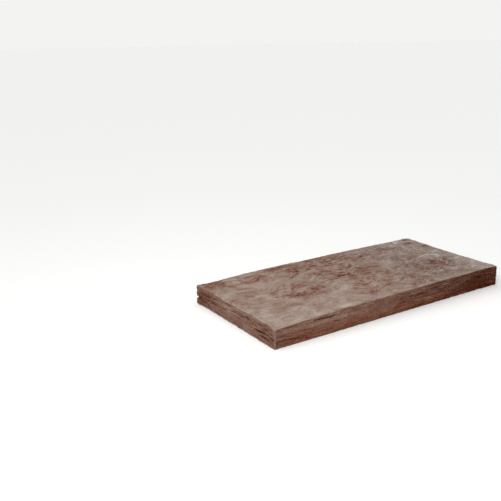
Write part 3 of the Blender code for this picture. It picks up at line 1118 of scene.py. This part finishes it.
# %% Build the fibre tree
def fibre_tree(values):
    """Scatters bent hairs over the skin, along its level lines before chance turns them."""
    tree, given = open_tree("loose_fibres", values)
    where = add(tree, KEPT, {"Name": given["Where"]}, **NUMBER)
    wanted = add(tree, MATH, {0: where, 1: given["Density"]}, operation="MULTIPLY")
    scatter = {"Mesh": given["Geometry"], "Density": wanted, "Seed": given["Seed"]}
    points = add(tree, "GeometryNodeDistributePointsOnFaces", scatter, distribute_method="RANDOM")
    rotation, normal = (points.node.outputs[name] for name in ("Rotation", "Normal"))
    level = add(tree, VECTOR, {0: (0, 0, 1), 1: normal}, operation="CROSS_PRODUCT")
    laid = {"Rotation": rotation, "Vector": level}
    laid = add(tree, "FunctionNodeAlignRotationToVector", laid, axis="X", pivot_axis="Z")
    turned = turned_by_chance(tree, given, laid)
    size = add(tree, CHANCE, {2: SHORTEST, 3: LONGEST, "Seed": SIZE_SEED}, **ANY_NUMBER)
    put = {"Points": points, "Instance": bent_hair(tree, given), "Rotation": turned, "Scale": size}
    hairs = add(tree, "GeometryNodeInstanceOnPoints", put)
    bareness = {2: given["Plainest"], 3: given["Barest"], "Seed": BARE_SEED}
    bareness = add(tree, CHANCE, bareness, **ANY_NUMBER)
    kept_bareness = {"Geometry": hairs, "Name": "bareness", "Value": bareness}
    hairs = add(tree, KEEP, kept_bareness, data_type="FLOAT", domain="INSTANCE")
    whole = add(tree, "GeometryNodeRealizeInstances", {0: hairs})
    smooth = add(tree, "GeometryNodeSetShadeSmooth", {0: whole})
    dressed = add(tree, "GeometryNodeSetMaterial", {"Geometry": smooth, "Material": given["Material"]})
    add(tree, "NodeGroupOutput", {0: dressed})
    return tree


# %% Where hairs stand
HAIRLESS = 8.0 * MM


def kept_values(name):
    """What the skin keeps for each point under this name, and 0 near the floor, to keep hairs above it."""
    values = [item.value for item in skin.data.attributes[name].data]
    return [value * (vertex.co.z > HAIRLESS) for value, vertex in zip(values, skin.data.vertices)]


edge_share = kept_values("cut")
store(skin.data, "on_edge", edge_share)
for name in ("arris", "tuft"):
    store(skin.data, "on_" + name, kept_values(name))
above = [vertex.co.z > thickness / 2 for vertex in skin.data.vertices]
store(skin.data, "on_top", [(1.0 - share) * upper for share, upper in zip(edge_share, above)])
print(f"hairs stand on {sum(share > 0 for share in edge_share)} points of the cut edges")

# %% Scatter the fibres
FIBRE_INPUTS = (
    "Where", "Density", "Length", "Radius", "Rise", "Spread", "Plainest", "Barest", "Seed", "Material",
)
FIBRE_ROWS = {
    "face_fibres": ("on_top", 5000.0, 16 * MM, 0.20 * MM, 1.0 * MM, math.pi, -0.3, 0.35, 11, fibre),
    "edge_fibres": ("on_edge", 20000.0, 12 * MM, 0.18 * MM, 1.0 * MM, 0.45, -0.3, 0.30, 12, fibre),
    "arris_fibres": ("on_arris", 60000.0, 10 * MM, 0.16 * MM, 1.4 * MM, math.pi, -0.2, 0.35, 13, fibre),
    "tuft_fibres": ("on_tuft", 600000.0, 13 * MM, 0.22 * MM, 2.2 * MM, math.pi, 0.5, 1.0, 14, fibre),
}
FIBRES = {name: dict(zip(FIBRE_INPUTS, row)) for name, row in FIBRE_ROWS.items()}
scatterer = fibre_tree(FIBRES["face_fibres"])
fibres = [run_tree(name, skin.data, scatterer, values) for name, values in FIBRES.items()]
for piece in fibres:
    print(f"{piece.name} has {sum(len(p.vertices) - 2 for p in piece.data.polygons)} triangles")

# %% [markdown]
# ## Floor, light and camera
# The slab lies on a pale seamless floor. The floor is wide enough that no view shows its rim, and the
# world behind it has the colour of the lit floor. One broad soft light stands up to the left, so the top
# is the brightest face and the left end comes next. The near edge darkens towards the right partly by
# this light and partly by painted shade in its colour.

# %% The floor
FLOOR_RADIUS = 90.0
FLOOR_SIDES = 96
FLOOR_COLOUR = "#efefed"
FLOOR_ROUGHNESS = 0.9

floor_mesh = bpy.data.meshes.new("studio_floor")
turns = [math.tau * number / FLOOR_SIDES for number in range(FLOOR_SIDES)]
rim = [(FLOOR_RADIUS * math.cos(turn), FLOOR_RADIUS * math.sin(turn), 0.0) for turn in turns]
floor_mesh.from_pydata(rim, [], [list(range(FLOOR_SIDES))])
floor = bpy.data.objects.new("studio_floor", floor_mesh)
bpy.context.scene.collection.objects.link(floor)
paint, _, paint_sockets = dull_material("matt_studio_paint", FLOOR_ROUGHNESS)
paint_sockets["Base Color"].default_value = linear(FLOOR_COLOUR)
floor_mesh.materials.append(paint)
floor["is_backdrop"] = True
print(f"the floor is {2 * FLOOR_RADIUS:.0f} m wide")

# %% The world
# The camera sees a plain backdrop. All other rays see a soft glow that is brightest up to the left.
BACKDROP_COLOUR = "#f3f3f2"
GLOW_COLOUR = "#ffffff"
SKY_TOWARDS = (-0.40, 0.10, 0.91)
SKY_DARKEST, SKY_BRIGHTEST = 0.12, 1.45
SKY_SPREAD = {"From Min": -0.1, "From Max": 1.0, "To Min": SKY_DARKEST, "To Max": SKY_BRIGHTEST}

world = bpy.data.worlds.new("soft_studio")
world.use_nodes = True
bpy.context.scene.world = world
sky = world.node_tree
sky.nodes.clear()
seen = add(sky, "ShaderNodeBackground", {"Color": linear(BACKDROP_COLOUR), "Strength": 1.0})
towards = add(sky, "ShaderNodeTexCoord", output="Generated")
facing = add(sky, VECTOR, {0: towards, 1: SKY_TOWARDS}, output="Value", operation="DOT_PRODUCT")
glow = add(sky, RANGE, {"Value": facing} | SKY_SPREAD, **SMOOTH)
filled = add(sky, "ShaderNodeBackground", {"Color": linear(GLOW_COLOUR), "Strength": glow})
direct = add(sky, "ShaderNodeLightPath", output="Is Camera Ray")
either = add(sky, "ShaderNodeMixShader", {0: direct, 1: filled, 2: seen})
add(sky, "ShaderNodeOutputWorld", {"Surface": either})
print(f"the glow runs from {SKY_DARKEST} to {SKY_BRIGHTEST}")

# %% The light
KEY_PLACE = Vector((-1.55, -1.25, 1.7))
KEY_AIM = Vector((-0.3, 0.0, 0.0))
KEY_SIZE = 1.0
KEY_POWER = 22.0

key_data = bpy.data.lights.new("key_softbox", "AREA")
key_data.shape = "SQUARE"
key_data.size = KEY_SIZE
key_data.energy = KEY_POWER
key = bpy.data.objects.new("key_softbox", key_data)
key.location = KEY_PLACE
key.rotation_euler = (KEY_AIM - KEY_PLACE).to_track_quat("-Z", "Y").to_euler()
bpy.context.scene.collection.objects.link(key)
bpy.context.scene.view_settings.view_transform = "Standard"

# %% The camera
IMAGE_SIDE = 501
IMAGE_MIDDLE = IMAGE_SIDE / 2
FOCAL_PIXELS = 707.4
SLAB_MIDDLE_PIXEL = (350.2, 284.4)
SLAB_DISTANCE = 3.213
YAW, PITCH, ROLL = math.radians(32.44), math.radians(16.92), math.radians(-1.23)

forward = Vector((math.sin(YAW) * math.cos(PITCH), math.cos(YAW) * math.cos(PITCH), -math.sin(PITCH)))
level = Vector((math.cos(YAW), -math.sin(YAW), 0.0))
right = math.cos(ROLL) * level + math.sin(ROLL) * level.cross(forward)
up = right.cross(forward)
slab_middle = (low + high) / 2
offset_right = (SLAB_MIDDLE_PIXEL[0] - IMAGE_MIDDLE) / FOCAL_PIXELS * SLAB_DISTANCE
offset_up = (IMAGE_MIDDLE - SLAB_MIDDLE_PIXEL[1]) / FOCAL_PIXELS * SLAB_DISTANCE
eye = slab_middle - offset_right * right - offset_up * up - SLAB_DISTANCE * forward

camera_data = bpy.data.cameras.new("camera")
camera_data.lens = FOCAL_PIXELS / IMAGE_SIDE * camera_data.sensor_width
camera = bpy.data.objects.new("camera", camera_data)
camera.matrix_world = Matrix.Translation(eye) @ Matrix((right, up, -forward)).transposed().to_4x4()
bpy.context.scene.collection.objects.link(camera)
bpy.context.scene.camera = camera
print(f"the camera is {(eye - slab_middle).length:.2f} m away with a {camera_data.lens:.1f} mm lens")

# %% [markdown]
# ## Hand the pieces over
# The skin stands for the plain block. The loose fibres ride with it, because they are part of the same
# felt.

# %% Ride, replace and finish
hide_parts(BLOCK)
for piece in [skin] + fibres:
    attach(piece, "root")
boxes = {"cad": CAD_BOX, "visual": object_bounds()}
plain = {name: [[float(value) for value in corner] for corner in box] for name, box in boxes.items()}
print(plain)
